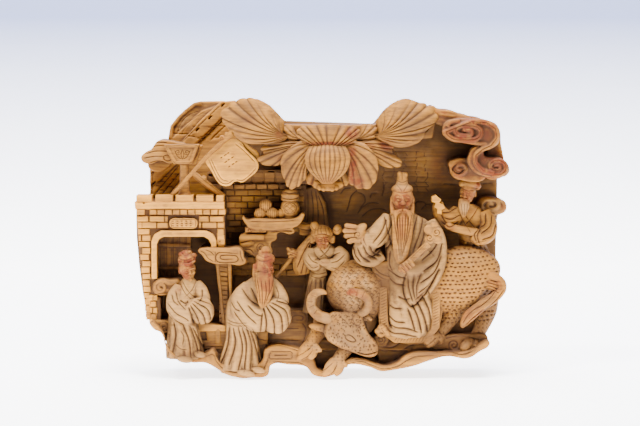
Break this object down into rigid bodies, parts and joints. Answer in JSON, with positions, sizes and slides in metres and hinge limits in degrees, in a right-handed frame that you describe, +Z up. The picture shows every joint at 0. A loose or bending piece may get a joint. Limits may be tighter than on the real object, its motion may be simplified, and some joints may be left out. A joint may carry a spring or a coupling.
{
  "type": "carved wooden relief panel",
  "caption": "Single-block wooden high relief with a gate tower, robed figures and an ox under leaves and clouds, with a flat back for hanging on a wall.",
  "frame": {"origin": "a point on the flat back, at the middle of the drawn width and near the middle of the height", "axes": "+Y out of the back towards the wall, +Z up, +X to the viewer's right, so the carving faces -Y"},
  "size_m": [0.373, 0.0903, 0.2814],
  "materials": {
    "wood": "aged, bare, with traces of red pigment"
  },
  "bodies": {
    "root": {"carved_panel": "wood"}
  },
  "joints": []
}
